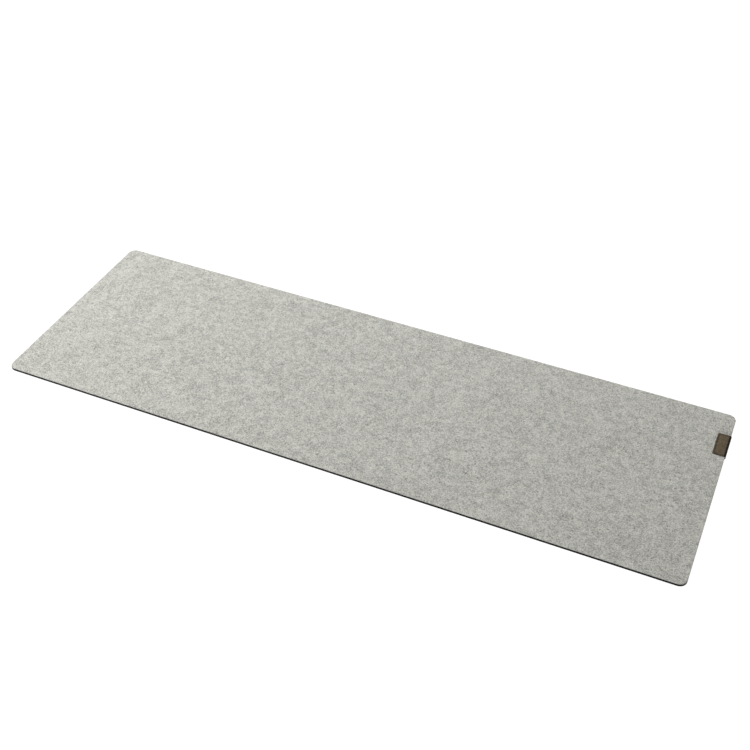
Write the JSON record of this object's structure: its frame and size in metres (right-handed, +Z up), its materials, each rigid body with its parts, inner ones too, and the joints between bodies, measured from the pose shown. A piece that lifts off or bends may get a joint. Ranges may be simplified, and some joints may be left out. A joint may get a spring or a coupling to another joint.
{
  "type": "desk mat",
  "caption": "Long rectangular desk mat with rounded corners: a felt work surface bonded to a rubber base, with a sewn leather tag folded over one short edge.",
  "frame": {"origin": "middle of the underside of the rubber base, on the surface that the mat lies on", "axes": "+X along the mat's length towards the end with the leather tag, +Y across it to the far edge, +Z up out of the felt"},
  "size_m": [0.9009, 0.3, 0.0047],
  "materials": {
    "base_rubber": "matt black sheet rubber with a fine non-slip grain",
    "adhesive": "thin translucent laminating film",
    "wool_felt": "light warm-grey melange wool felt, matt, with darker flecks",
    "tag_leather": "dark brown smooth leather, satin",
    "thread": "dark brown twisted polyester sewing thread"
  },
  "bodies": {
    "root": {"rubber_base": "base_rubber", "bond_film": "adhesive", "felt_top": "wool_felt", "leather_tag": "tag_leather", "needle_thread": "thread", "bobbin_thread": "thread"}
  },
  "joints": []
}
